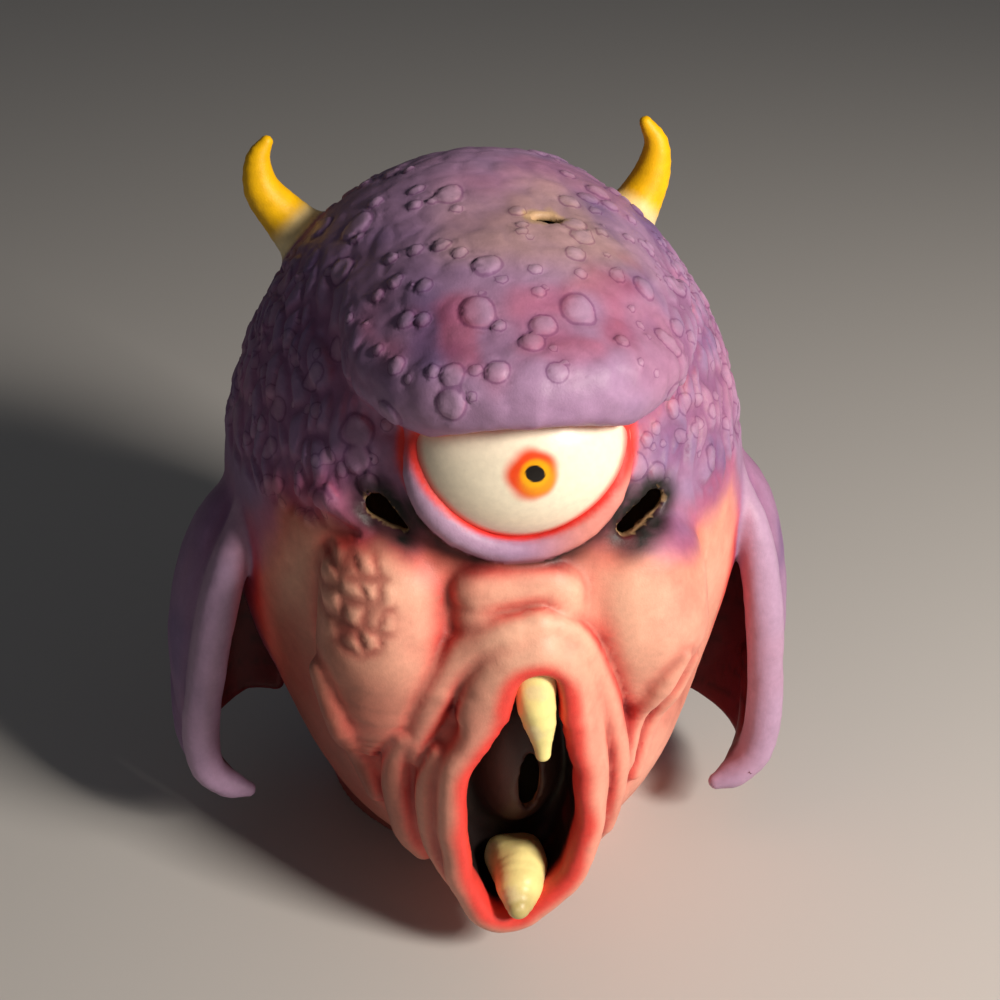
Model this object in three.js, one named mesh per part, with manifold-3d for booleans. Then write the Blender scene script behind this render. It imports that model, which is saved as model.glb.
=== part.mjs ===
import * as THREE from 'three';
import Module from 'manifold-3d';

// A pull-over latex monster mask, one hollow casting: a domed skull with a heavy brow
// lobe, one great eye, two horns, two hanging ears, sagging cheeks and a tall open
// mouth with two teeth. Millimetres, +Z up. The face looks along -Y, and the mask
// stands on its flat neck rim at Z = 0.

// Driving sizes
const HEAD_BREADTH = 216;
const HEAD_DEPTH = 224;
const CROWN_HEIGHT = 293;
const SKULL_CENTRE_HEIGHT = 151;
const NECK_RADIUS = 70;
const WALL = 3.5;
const COLOUR = 0x7d6690;

// Places and radii of the forms: [x, y, z] and [rx, ry, rz], or [x, y, z, radius] along a line
const SKULL = { at: [0, 2, SKULL_CENTRE_HEIGHT],
  radii: [HEAD_BREADTH / 2, HEAD_DEPTH / 2, CROWN_HEIGHT - SKULL_CENTRE_HEIGHT] };
const NECK_LINE = [[0, 14, -60, NECK_RADIUS], [0, 14, 95, NECK_RADIUS]];
const JAW = { at: [-1, -42, 76], radii: [72, 74, 66] };
const MUZZLE_LINE = [[1, -92, 142, 27], [-2, -92, 100, 36], [-4, -94, 66, 33], [-6, -103, 38, 21]];
const BRIDGE = [[-16, -105, 169, 11.5], [8, -105, 169, 11.5], [8, -106, 160, 11.5], [-16, -106, 160, 11.5]];
const BROW_LOBE = { at: [3, -30, 244], radii: [65, 82, 42] };
const BROW_ROLL = [[-50, -42, 257, 7], [-49, -60, 249.5, 10], [-44, -77, 244, 13.5], [-26, -97, 245, 17],
  [1, -105, 246, 18.5], [29, -98, 245, 17], [48, -79, 241, 13.5], [58, -62, 243, 10.5], [65, -44, 250, 7]];
const SOCKET = { at: [0, -118, 212], radii: [44, 30, 26] };
const EYEBALL = { at: [0, -84, 215], radii: [41, 32, 33] };
const CHEEK_LEFT = [[-49, -87, 162, 25], [-50, -92, 142, 26], [-54, -93, 116, 18], [-57, -94, 93, 4]];
const CHEEK_RIGHT = [[46, -87, 162, 25], [47, -92, 144, 26], [45, -95, 122, 17]];
// The flat inner halves of the cheeks, which meet the bridge in a crease
const CHEEK_PADS = [[[-44, -89, 162, 23], [-45, -93, 144, 24], [-50, -94, 122, 18]],
  [[38, -89, 163, 23], [39, -93, 146, 23], [42, -95, 128, 17]]];
const HORN_LEFT = [[-67, 37, 250, 12], [-76, 40, 260, 9.5], [-84, 41, 271, 7.5], [-85, 41, 283, 5],
  [-81, 41, 290.5, 2.6]];
const HORN_RIGHT = [[64, 37, 250, 12], [71, 40, 260, 9.5], [76, 41, 271, 7.5], [77, 41, 283, 5],
  [72, 41, 292, 2.6]];

// The lid is a rim that runs round the eye from brow to brow, thickest at its lower sides
const LID = { at: [-1, 218], width: 36, drop: 32.5, front: 108, sides: 93, radius: 3.3, swell: 3, sweep: 100,
  pieces: 10 };

// The eye slots, seen square on, each between two round ends: [x, z, half width]
const EYE_SLOTS = [[[-50.5, 196.3, 4.6], [-41.2, 190, 1]], [[37.5, 186.5, 3.2], [49, 192, 4.3]]];
const EYE_SLOT_FRONT = -140;
const EYE_SLOT_BACK = -62;

// The mouth is a leaning teardrop in the face plane: [x, z, half width]
const MOUTH_LINE = [[2, 135.5, 7], [1.5, 120, 9.5], [-3, 93, 20], [-2.5, 72, 21], [-3.5, 54, 18],
  [-7.5, 36, 7.5]];
const LIP = { front: -126, offset: 5, radius: 6.5, sink: 4.55 };
// Behind the lips the mouth widens into a pocket, over this depth
const POCKET = { back: -93, spread: 2, widens: [4, 16], corner: 8 };
const PALATE = { at: [0, -90, 82], radii: [18, 17, 34] };
const MOUTH_SLIT = { at: [3, -98, 77], radii: [4.6, 30, 15] };
const UPPER_TOOTH = [[1.5, -116, 141, 8.5], [2.5, -122, 127, 7.5], [4.3, -127, 108.5, 3]];
const LOWER_TOOTH = [[-6, -98, 33, 12.5], [-4.6, -110, 38.2, 12.3], [-4.2, -119, 38.5, 10],
  [-4.4, -129, 35, 4.2]];
const CROWN_TEAR = { at: [16.5, -43, 285], radii: [6, 2.6, 14] };

// Folds of skin beside the mouth and cheeks: [x, z, radius], laid on the face
const FOLDS = [
  [[3, 160, 6], [-9, 156.5, 7.5], [-22, 147.5, 8.5], [-32, 132, 8.5], [-37, 117, 7], [-40, 104, 5],
    [-41, 96, 2.5]],
  [[3, 160, 6], [12, 156, 5.5], [20, 146, 6], [27, 128, 6.5], [33, 105, 6], [35.5, 84, 5.5], [34, 50, 4.5],
    [27, 30, 3]],
  [[3, 151, 8.5], [-8, 147.5, 9.5], [-15, 136, 10], [-19, 124, 8], [-19, 113, 4]],
  [[3, 151, 8.5], [14.5, 143.5, 8], [21, 125, 6], [25, 102, 5], [27, 81, 4.5], [24, 56, 4]],
  [[-33, 104, 4], [-36, 90, 5.5], [-36.5, 77, 6], [-34.5, 58, 5.5], [-30, 45, 5], [-24, 33, 4]],
  [[-45, 108, 5], [-47, 95, 6], [-47.5, 80, 6.5], [-44.5, 55, 6], [-38, 40, 5]],
  [[-74, 135, 5], [-68, 110, 6], [-62, 90, 6], [-55, 70, 5]],
  [[-73, 194.5, 3], [-67, 195.5, 5], [-60, 192.5, 5], [-56, 189, 3]],
  [[59, 138, 2.5], [51, 124, 4.5], [44, 105, 5], [40, 85, 4]],
  [[65, 130, 2.5], [58, 114, 4.5], [51, 97, 5], [45, 75, 4]],
];
// How deep a fold's middle lies under the skin, as a share of its radius
const FOLD_SINK = 0.05;

// The ear is a cupped shell, open to the front, with a rolled front edge that ends in an inward hook
const EAR_CUP = { at: [98, -16, 88], radii: [32, 38, 80], thickness: 5.5, slant: 1.9, hem: 40, hemFall: 0.4,
  hemCorner: 100, corner: 4 };
const EAR_EDGE = [[94, -28, 172, 5], [104, -42, 152, 7], [110, -46, 131, 7.5], [114, -48, 110, 7.5],
  [117, -48, 90, 7.5], [120, -48, 66, 7.5], [118, -49, 48, 7], [110, -50, 38, 5.5], [101, -50, 34, 3.5]];
const EAR_FOOT = [[127, -8, 66, 6], [125, -22, 50, 7], [118, -38, 40, 6.5], [109, -47, 36, 5]];
// The soft ears hang unevenly: how far each has moved at its tip
const EAR_HANG = { top: 172, tip: 34, left: [7, 3, 4], right: [-6, -6, -8] };

// How softly each form flows into the rest
const SOFT = { skull: 1, neck: 36, jaw: 26, muzzle: 20, cheeks: 3, pads: 6, bridge: 2.5, browLobe: 5,
  browRoll: 7, folds: 2.5, lips: 4, socket: 8, eye: 2, lid: 5, mouth: 4, palate: 3, teeth: 4, horns: 6,
  ears: 5 };

// Warts over the front and sides of the upper skull, spread by turn and by height over the middle
const WART = { seed: 7, count: 52, radius: [5.5, 8], height: 1.3, turn: 1.5 * Math.PI, lowest: 0.2,
  rise: 0.78 };

// All places above are measured from a point under the skull; this shift brings the middle of
// the whole mask's outline over the origin
const SHIFT = [5, 9.7, 0];

// How closely the surfaces are sampled, and how many faces stay
const CELL = 3;
const BLOCK = 4;
const CAVITY_CELL = 5;
const OUTER_TRIANGLES = 8100;
const CAVITY_TRIANGLES = 1300;
// Faces are spent on the front of the mask and on the horns sooner than on the back of the skull
const FRONT_CARE = 10;
const BACK_OF_FACE = -20;
const HORN_FOOT = 258;
const HORN_SIDE = 62;

const length = (x, y, z) => Math.sqrt(x * x + y * y + z * z);

function softMin(a, b, soft) {
  const overlap = Math.max(soft - Math.abs(a - b), 0) / soft;
  return Math.min(a, b) - overlap * overlap * soft / 4;
}

function softMax(a, b, soft) {
  return -softMin(-a, -b, soft);
}

// Forms: each has a centre, a reach round it and a signed distance, negative inside
function egg({ at, radii }) {
  const [rx, ry, rz] = radii;
  return {
    centre: at,
    reach: Math.max(...radii),
    distance(x, y, z) {
      const u = (x - at[0]) / rx;
      const v = (y - at[1]) / ry;
      const w = (z - at[2]) / rz;
      const scaled = length(u, v, w);
      return scaled < 1e-6 ? -Math.min(...radii) : scaled * (scaled - 1) / length(u / rx, v / ry, w / rz);
    },
  };
}

// A limb is a chain of round cones along a smooth curve through [x, y, z, radius] points
function limb(points, stepsPerSpan = 3) {
  const curve = new THREE.CatmullRomCurve3(points.map(([x, y, z]) => new THREE.Vector3(x, y, z)),
    false, 'catmullrom');
  const count = (points.length - 1) * stepsPerSpan;
  const knots = [];
  for (let i = 0; i <= count; i++) {
    const t = i / count;
    const span = Math.min(Math.floor(t * (points.length - 1)), points.length - 2);
    const part = t * (points.length - 1) - span;
    const place = curve.getPoint(t);
    knots.push([place.x, place.y, place.z, points[span][3] * (1 - part) + points[span + 1][3] * part]);
  }
  const box = new THREE.Box3().setFromPoints(knots.map(([x, y, z]) => new THREE.Vector3(x, y, z)));
  const centre = box.getCenter(new THREE.Vector3());
  const reaches = knots.map(([x, y, z, r]) => length(x - centre.x, y - centre.y, z - centre.z) + r);
  return {
    centre: centre.toArray(),
    reach: Math.max(...reaches),
    distance(x, y, z) {
      let nearest = Infinity;
      for (let i = 0; i < count; i++) {
        const [ax, ay, az, ar] = knots[i];
        const [bx, by, bz, br] = knots[i + 1];
        const dx = bx - ax;
        const dy = by - ay;
        const dz = bz - az;
        const along = ((x - ax) * dx + (y - ay) * dy + (z - az) * dz) / (dx * dx + dy * dy + dz * dz);
        const t = Math.min(Math.max(along, 0), 1);
        const gap = length(x - ax - dx * t, y - ay - dy * t, z - az - dz * t) - ar - (br - ar) * t;
        nearest = Math.min(nearest, gap);
      }
      return nearest;
    },
  };
}

// Signed distance to the mouth's outline, seen square on
const mouthOutline = limb(MOUTH_LINE.map(([x, z, r]) => [x, 0, z, r]), 4);
const mouthAt = (x, z) => mouthOutline.distance(x, 0, z);
const MOUTH_MIDDLE = [-2, LIP.front, 88];
const MOUTH_REACH = 95;

function lipRing() {
  return {
    centre: MOUTH_MIDDLE,
    reach: MOUTH_REACH,
    distance: (x, y, z) => length(mouthAt(x, z) - LIP.offset, y - LIP.front - LIP.sink, 0) - LIP.radius,
  };
}

function mouthPocket() {
  return {
    centre: MOUTH_MIDDLE,
    reach: MOUTH_REACH,
    distance(x, y, z) {
      const behindLips = THREE.MathUtils.smoothstep(y - LIP.front, ...POCKET.widens);
      return softMax(mouthAt(x, z) - POCKET.spread * behindLips, y - POCKET.back, POCKET.corner);
    },
  };
}

function earCup() {
  const bowl = egg(EAR_CUP);
  const [cx, cy] = EAR_CUP.at;
  return {
    centre: EAR_CUP.at,
    reach: Math.max(...EAR_CUP.radii) + EAR_CUP.thickness,
    distance(x, y, z) {
      const skin = Math.abs(bowl.distance(x, y, z)) - EAR_CUP.thickness / 2;
      const open = -(y - cy + EAR_CUP.slant * (x - cx)) / length(1, EAR_CUP.slant, 0);
      const hem = EAR_CUP.hem - EAR_CUP.hemFall * Math.max(x - EAR_CUP.hemCorner, 0) - z;
      return softMax(softMax(skin, open, EAR_CUP.corner), hem, EAR_CUP.corner);
    },
  };
}

// A form moved to one side of the head, leaning with the hang of that ear
function onSide(form, side, [out, back, up]) {
  const [cx, cy, cz] = form.centre;
  return {
    centre: [side * cx, cy, cz],
    reach: form.reach + length(out, back, up),
    distance(x, y, z) {
      const share = THREE.MathUtils.clamp((EAR_HANG.top - z) / (EAR_HANG.top - EAR_HANG.tip), 0, 1);
      return form.distance(side * x - out * share, y - back * share, z - up * share);
    },
  };
}

function lidLine() {
  const points = [];
  for (let piece = 0; piece <= LID.pieces; piece++) {
    const angle = THREE.MathUtils.degToRad(LID.sweep * (2 * piece / LID.pieces - 1));
    points.push([LID.at[0] + LID.width * Math.sin(angle),
      -THREE.MathUtils.lerp(LID.sides, LID.front, Math.cos(angle)),
      LID.at[1] - LID.drop * Math.cos(angle), LID.radius + LID.swell * Math.sin(1.5 * angle) ** 2]);
  }
  return points;
}

// One modelling step: a form joined to or cut from the clay, softly
const join = (form, soft) => ({ form, soft, cuts: false });
const cut = (form, soft) => ({ form, soft, cuts: true });

function clayAt(steps, x, y, z) {
  let value = 1000;
  for (const { form, soft, cuts } of steps) {
    const [cx, cy, cz] = form.centre;
    const away = length(x - cx, y - cy, z - cz) - form.reach;
    if (away > (cuts ? soft - value : soft + value)) continue;
    const distance = form.distance(x, y, z);
    value = cuts ? softMax(value, -distance, soft) : softMin(value, distance, soft);
  }
  return value;
}

// Walks in from outside along a direction until it meets the clay
function meetClay(steps, start, direction, reach) {
  let travelled = 0;
  while (travelled < reach) {
    const [x, y, z] = start.map((value, axis) => value + direction[axis] * travelled);
    const gap = clayAt(steps, x, y, z);
    if (gap < 0.05) return [x, y, z];
    travelled += Math.max(gap * 0.7, 0.05);
  }
  return null;
}

const headSteps = [
  join(egg(SKULL), SOFT.skull),
  join(limb(NECK_LINE, 1), SOFT.neck),
  join(egg(JAW), SOFT.jaw),
  join(limb(MUZZLE_LINE), SOFT.muzzle),
  join(limb(CHEEK_LEFT), SOFT.cheeks),
  join(limb(CHEEK_RIGHT), SOFT.cheeks),
  ...CHEEK_PADS.map((pad) => join(limb(pad), SOFT.pads)),
  join(limb(BRIDGE), SOFT.bridge),
  join(egg(BROW_LOBE), SOFT.browLobe),
  join(limb(BROW_ROLL), SOFT.browRoll),
];

function foldOnFace(fold) {
  return limb(fold.map(([x, z, radius]) => {
    const [, y] = meetClay(headSteps, [x, -200, z], [0, 1, 0], 200);
    return [x, y + radius * FOLD_SINK, z, radius];
  }));
}

const socket = cut(egg(SOCKET), SOFT.socket);
const eyeball = join(egg(EYEBALL), SOFT.eye);
const pocket = cut(mouthPocket(), SOFT.mouth);
const palate = join(egg(PALATE), SOFT.palate);

const faceSteps = [
  ...headSteps,
  ...FOLDS.map((fold) => join(foldOnFace(fold), SOFT.folds)),
  join(lipRing(), SOFT.lips),
  socket,
  eyeball,
  join(limb(lidLine(), 2), SOFT.lid),
  pocket,
  palate,
];

const wholeSteps = [
  ...faceSteps,
  join(limb(UPPER_TOOTH), SOFT.teeth),
  join(limb(LOWER_TOOTH), SOFT.teeth),
  join(limb(HORN_LEFT), SOFT.horns),
  join(limb(HORN_RIGHT), SOFT.horns),
  ...[[1, EAR_HANG.right], [-1, EAR_HANG.left]].flatMap(([side, hang]) => [
    join(onSide(earCup(), side, hang), SOFT.ears),
    join(onSide(limb(EAR_EDGE), side, hang), SOFT.ears),
    join(onSide(limb(EAR_FOOT), side, hang), SOFT.ears),
  ]),
];

// The inside follows the broad forms only, so that folds and lips stand out as thicker skin
const insideSteps = [...headSteps, socket, eyeball, pocket, palate];

// A repeatable random number from 0 to 1
function randomFrom(seed) {
  let state = seed;
  return () => {
    state = (Math.imul(state, 1664525) + 1013904223) >>> 0;
    return state / 4294967296;
  };
}

// Warts are low flat-topped swellings on the upper skull, each [x, y, z, radius]
function placeWarts() {
  const random = randomFrom(WART.seed);
  const warts = [];
  for (let i = 0; i < WART.count; i++) {
    const turn = (random() - 0.5) * WART.turn;
    const tilt = Math.asin(WART.lowest + WART.rise * random());
    const radius = THREE.MathUtils.lerp(...WART.radius, random() ** 2);
    const direction = [Math.sin(turn) * Math.cos(tilt), -Math.cos(turn) * Math.cos(tilt), Math.sin(tilt)];
    const start = direction.map((value, axis) => SKULL.at[axis] + value * HEAD_DEPTH);
    const place = meetClay(faceSteps, start, direction.map((value) => -value), HEAD_DEPTH);
    if (!place) continue;
    const onEye = length(place[0], place[2] - EYEBALL.at[2], 0) < LID.width + radius && place[1] < 0;
    if (!onEye) warts.push([...place, radius]);
  }
  return warts;
}

function withWarts(warts) {
  return (x, y, z) => {
    let value = clayAt(wholeSteps, x, y, z);
    if (Math.abs(value) > 2 * BLOCK * CELL) return value;
    for (const [wx, wy, wz, radius] of warts) {
      const gap = length(x - wx, y - wy, z - wz) / radius;
      if (gap < 1) value -= WART.height * (1 - gap ** 4);
    }
    return value;
  };
}

// Each cube of the sampling grid falls into six tetrahedra round its long diagonal
const AXIS_ORDERS = [[0, 1, 2], [1, 2, 0], [2, 0, 1], [0, 2, 1], [2, 1, 0], [1, 0, 2]];
const TETRAHEDRA = AXIS_ORDERS.map(([a, b, c], order) => {
  const corners = [0, 1 << a, (1 << a) | (1 << b), (1 << a) | (1 << b) | (1 << c)];
  return order < 3 ? corners : [corners[0], corners[2], corners[1], corners[3]];
});

// The faces that part the inside corners of a tetrahedron from the outside ones
function facesForMask(mask) {
  const inside = [0, 1, 2, 3].filter((corner) => mask & (1 << corner));
  const outside = [0, 1, 2, 3].filter((corner) => !(mask & (1 << corner)));
  const sequence = inside.length === 3 ? [...outside, ...inside] : [...inside, ...outside];
  let swaps = 0;
  for (let i = 0; i < 4; i++) {
    for (let j = i + 1; j < 4; j++) swaps += sequence[i] > sequence[j] ? 1 : 0;
  }
  const [p, q, r, s] = swaps % 2 ? [sequence[0], sequence[1], sequence[3], sequence[2]] : sequence;
  if (inside.length === 1) return [[[p, q], [p, r], [p, s]]];
  if (inside.length === 3) return [[[p, q], [p, s], [p, r]]];
  if (inside.length === 2) return [[[p, r], [p, s], [q, s]], [[p, r], [q, s], [q, r]]];
  return [];
}
const FACES = Array.from({ length: 16 }, (_, mask) => facesForMask(mask));

// Triangle surface of a field's zero level, closed by the faces of the box it is sampled in
function surfaceOf(field, low, high, cell) {
  const size = low.map((value, axis) => Math.ceil((high[axis] - value) / cell) + 1);
  const stride = [1, size[0], size[0] * size[1]];
  const values = new Float32Array(size[0] * size[1] * size[2]);
  const blockReach = BLOCK * cell * Math.sqrt(3);
  for (let k0 = 0; k0 < size[2]; k0 += BLOCK) {
    for (let j0 = 0; j0 < size[1]; j0 += BLOCK) {
      for (let i0 = 0; i0 < size[0]; i0 += BLOCK) {
        const middle = [i0, j0, k0].map((step, axis) => low[axis] + (step + BLOCK / 2) * cell);
        const broad = field(...middle);
        const far = Math.abs(broad) > blockReach;
        for (let k = k0; k < Math.min(k0 + BLOCK, size[2]); k++) {
          for (let j = j0; j < Math.min(j0 + BLOCK, size[1]); j++) {
            for (let i = i0; i < Math.min(i0 + BLOCK, size[0]); i++) {
              const value = far ? broad : field(low[0] + i * cell, low[1] + j * cell, low[2] + k * cell);
              const onBox = [i, j, k].some((step, axis) => step === 0 || step === size[axis] - 1);
              values[i + j * stride[1] + k * stride[2]] = onBox ? Math.max(value, cell / 2) : value;
            }
          }
        }
      }
    }
  }
  const corner = (code) => (code & 1) * stride[0] + (code >> 1 & 1) * stride[1] + (code >> 2 & 1) * stride[2];
  const edgePoints = new Int32Array(values.length * 8).fill(-1);
  const points = [];
  const faces = [];

  function pointOn(base, codeA, codeB) {
    const from = base + corner(Math.min(codeA, codeB));
    const key = from * 8 + (codeA ^ codeB);
    if (edgePoints[key] >= 0) return edgePoints[key];
    const to = base + corner(Math.max(codeA, codeB));
    const share = Math.min(Math.max(values[from] / (values[from] - values[to]), 0.06), 0.94);
    const code = codeA ^ codeB;
    const start = [from % size[0], Math.floor(from / stride[1]) % size[1], Math.floor(from / stride[2])];
    points.push(start.map((value, axis) => low[axis] + (value + (code >> axis & 1) * share) * cell));
    edgePoints[key] = points.length - 1;
    return points.length - 1;
  }

  for (let k = 0; k + 1 < size[2]; k++) {
    for (let j = 0; j + 1 < size[1]; j++) {
      for (let i = 0; i + 1 < size[0]; i++) {
        const base = i + j * stride[1] + k * stride[2];
        for (const tetrahedron of TETRAHEDRA) {
          let mask = 0;
          tetrahedron.forEach((code, place) => {
            if (values[base + corner(code)] < 0) mask |= 1 << place;
          });
          for (const face of FACES[mask]) {
            faces.push(face.map(([a, b]) => pointOn(base, tetrahedron[a], tetrahedron[b])));
          }
        }
      }
    }
  }
  return { points: points.map((point) => settled(field, point, cell)), faces };
}

// Moves a point of the coarse surface straight onto the field's true zero level
function settled(field, point, cell) {
  const NUDGE = 0.05;
  let place = point;
  for (let turn = 0; turn < 2; turn++) {
    const value = field(...place);
    const slope = place.map((_, axis) => {
      const ahead = [...place];
      ahead[axis] += NUDGE;
      return (field(...ahead) - value) / NUDGE;
    });
    const steepness = Math.max(dot(slope, slope), 0.3);
    const step = THREE.MathUtils.clamp(value / steepness, -cell / 4, cell / 4);
    place = place.map((coordinate, axis) => coordinate - slope[axis] * step);
  }
  return place;
}

// A binary heap of edges, cheapest first
class EdgeHeap {
  constructor() {
    this.items = [];
  }

  push(item) {
    const { items } = this;
    let place = items.push(item) - 1;
    while (place > 0) {
      const above = (place - 1) >> 1;
      if (items[above].cost <= item.cost) break;
      items[place] = items[above];
      place = above;
    }
    items[place] = item;
  }

  pop() {
    const { items } = this;
    const first = items[0];
    const last = items.pop();
    if (items.length === 0) return first;
    let place = 0;
    for (;;) {
      let below = place * 2 + 1;
      if (below >= items.length) break;
      if (below + 1 < items.length && items[below + 1].cost < items[below].cost) below += 1;
      if (items[below].cost >= last.cost) break;
      items[place] = items[below];
      place = below;
    }
    items[place] = last;
    return first;
  }
}

const less = (a, b) => [a[0] - b[0], a[1] - b[1], a[2] - b[2]];
const cross = (a, b) => [a[1] * b[2] - a[2] * b[1], a[2] * b[0] - a[0] * b[2], a[0] * b[1] - a[1] * b[0]];
const dot = (a, b) => a[0] * b[0] + a[1] * b[1] + a[2] * b[2];

// Thins a closed surface by folding up edges, the ones that change its form least first
function thinned({ points, faces }, target, careAt) {
  const LENGTH_WEIGHT = 0.00005;
  const SHORT_EDGE = 1.2;
  const quadrics = points.map(() => new Float64Array(10));
  const around = points.map(() => new Set());
  const alive = faces.map(() => true);
  const version = new Int32Array(points.length);
  const heap = new EdgeHeap();
  let count = faces.length;

  faces.forEach(([a, b, c], face) => {
    const normal = cross(less(points[b], points[a]), less(points[c], points[a]));
    const area = Math.hypot(...normal);
    if (area > 1e-12) {
      const [nx, ny, nz] = normal.map((value) => value / area);
      const offset = -dot([nx, ny, nz], points[a]);
      const weight = careAt(points[a]) * area / 2;
      const terms = [nx * nx, nx * ny, nx * nz, nx * offset, ny * ny, ny * nz, ny * offset, nz * nz,
        nz * offset, offset * offset];
      for (const vertex of [a, b, c]) {
        terms.forEach((term, place) => {
          quadrics[vertex][place] += term * weight;
        });
      }
    }
    for (const vertex of [a, b, c]) around[vertex].add(face);
  });

  function errorAt(q, [x, y, z]) {
    return q[0] * x * x + 2 * q[1] * x * y + 2 * q[2] * x * z + 2 * q[3] * x + q[4] * y * y
      + 2 * q[5] * y * z + 2 * q[6] * y + q[7] * z * z + 2 * q[8] * z + q[9];
  }

  function bestPlace(q, a, b) {
    const middle = a.map((value, axis) => (value + b[axis]) / 2);
    const rows = [[q[0], q[1], q[2]], [q[1], q[4], q[5]], [q[2], q[5], q[7]]];
    const across = cross(rows[1], rows[2]);
    const determinant = dot(rows[0], across);
    const scale = q[0] + q[4] + q[7];
    if (Math.abs(determinant) > 1e-4 * scale ** 3) {
      const right = [-q[3], -q[6], -q[8]];
      const columns = [0, 1, 2].map((column) => rows.map((row, index) => {
        const copy = [...row];
        copy[column] = right[index];
        return copy;
      }));
      const solved = columns.map((matrix) => dot(matrix[0], cross(matrix[1], matrix[2])) / determinant);
      if (Math.hypot(...less(solved, middle)) < Math.hypot(...less(a, b))) return solved;
    }
    return middle;
  }

  function offer(a, b) {
    const q = quadrics[a].map((value, place) => value + quadrics[b][place]);
    const place = bestPlace(q, points[a], points[b]);
    const length = Math.hypot(...less(points[a], points[b]));
    const cost = Math.max(errorAt(q, place), 0) + LENGTH_WEIGHT * length ** 4;
    heap.push({ cost, a, b, place, stamp: version[a] + version[b] });
  }

  const neighboursOf = (vertex) => {
    const found = new Set();
    for (const face of around[vertex]) faces[face].forEach((other) => found.add(other));
    found.delete(vertex);
    return found;
  };

  // How even a triangle is, from 0 for a sliver to about 0.87, and the way it faces
  function lookOf(corners) {
    const normal = cross(less(corners[1], corners[0]), less(corners[2], corners[0]));
    const area = length(...normal);
    const sides = corners.map((point, index) => length(...less(point, corners[(index + 1) % 3])));
    const longest = Math.max(...sides);
    return { evenness: area / (longest * longest), facing: normal.map((value) => value / area) };
  }

  function staysSound(vertex, other, place) {
    const isShort = length(...less(points[vertex], points[other])) < SHORT_EDGE;
    for (const face of around[vertex]) {
      const corners = faces[face];
      if (corners.includes(other)) continue;
      const before = lookOf(corners.map((corner) => points[corner]));
      const after = lookOf(corners.map((corner) => (corner === vertex ? place : points[corner])));
      if (before.evenness > 0.04 && dot(before.facing, after.facing) < (isShort ? 0 : 0.3)) return false;
      if (!isShort && after.evenness < Math.min(0.07, before.evenness)) return false;
    }
    return true;
  }

  for (let vertex = 0; vertex < points.length; vertex++) {
    for (const other of neighboursOf(vertex)) {
      if (other > vertex) offer(vertex, other);
    }
  }

  while (count > target && heap.items.length) {
    const { a, b, place, stamp } = heap.pop();
    if (stamp !== version[a] + version[b] || version[a] < 0 || version[b] < 0) continue;
    const besideA = neighboursOf(a);
    const shared = [...neighboursOf(b)].filter((vertex) => besideA.has(vertex));
    if (!besideA.has(b) || shared.length !== 2) continue;
    if (!staysSound(a, b, place) || !staysSound(b, a, place)) continue;
    for (const face of around[b]) {
      const corners = faces[face];
      if (corners.includes(a)) {
        corners.forEach((corner) => around[corner].delete(face));
        alive[face] = false;
        count -= 1;
      } else {
        corners[corners.indexOf(b)] = a;
        around[a].add(face);
      }
    }
    around[b].clear();
    quadrics[b].forEach((value, index) => {
      quadrics[a][index] += value;
    });
    points[a] = place;
    version[b] = -1e9;
    version[a] += 1;
    for (const other of neighboursOf(a)) offer(a, other);
  }
  return { points, faces: faces.filter((_, face) => alive[face]) };
}

// The inside stays a wall's thickness below the smooth outside everywhere
function insideAt(x, y, z) {
  return Math.max(clayAt(insideSteps, x, y, z), clayAt(wholeSteps, x, y, z)) + WALL;
}

const wasm = await Module();
wasm.setup();

function solidOf({ points, faces }) {
  const numbers = new Map();
  const places = [];
  const triangles = faces.flat().map((vertex) => {
    if (!numbers.has(vertex)) {
      numbers.set(vertex, places.length / 3);
      places.push(...points[vertex]);
    }
    return numbers.get(vertex);
  });
  return new wasm.Manifold(new wasm.Mesh({
    numProp: 3, vertProperties: new Float32Array(places), triVerts: new Uint32Array(triangles),
  }));
}

function meshParts(geometry) {
  const place = geometry.getAttribute('position');
  const keys = new Map();
  const points = [];
  const corners = [];
  const order = geometry.index ? Array.from(geometry.index.array) : [...Array(place.count).keys()];
  for (const vertex of order) {
    const point = [place.getX(vertex), place.getY(vertex), place.getZ(vertex)];
    const key = point.map((value) => value.toFixed(4)).join();
    if (!keys.has(key)) keys.set(key, points.push(point) - 1);
    corners.push(keys.get(key));
  }
  const faces = [];
  for (let i = 0; i < corners.length; i += 3) {
    const face = corners.slice(i, i + 3);
    if (new Set(face).size === 3) faces.push(face);
  }
  return { points, faces };
}

// A cutter shaped as a stretched ball, for the slit and the tear
function eggCutter({ at, radii }) {
  const ball = new THREE.SphereGeometry(1, 12, 8);
  ball.scale(...radii);
  ball.translate(...at);
  return solidOf(meshParts(ball));
}

// A cutter through the front of the face, whose outline runs straight between two round ends
function slotCutter([[ax, az, ar], [bx, bz, br]]) {
  const turn = Math.atan2(bz - az, bx - ax);
  const lean = Math.acos((ar - br) / Math.hypot(bx - ax, bz - az));
  const outline = new THREE.Shape();
  outline.absarc(ax, az, ar, turn + lean, turn - lean + 2 * Math.PI);
  outline.absarc(bx, bz, br, turn - lean, turn + lean);
  const block = new THREE.ExtrudeGeometry(outline,
    { depth: EYE_SLOT_BACK - EYE_SLOT_FRONT, bevelEnabled: false, curveSegments: 8 });
  block.rotateX(Math.PI / 2);
  block.translate(0, EYE_SLOT_BACK, 0);
  return solidOf(meshParts(block));
}

function blockBelow(height) {
  const block = new THREE.BoxGeometry(400, 400, 200);
  block.translate(0, 0, height - 100);
  return solidOf(meshParts(block));
}

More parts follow.
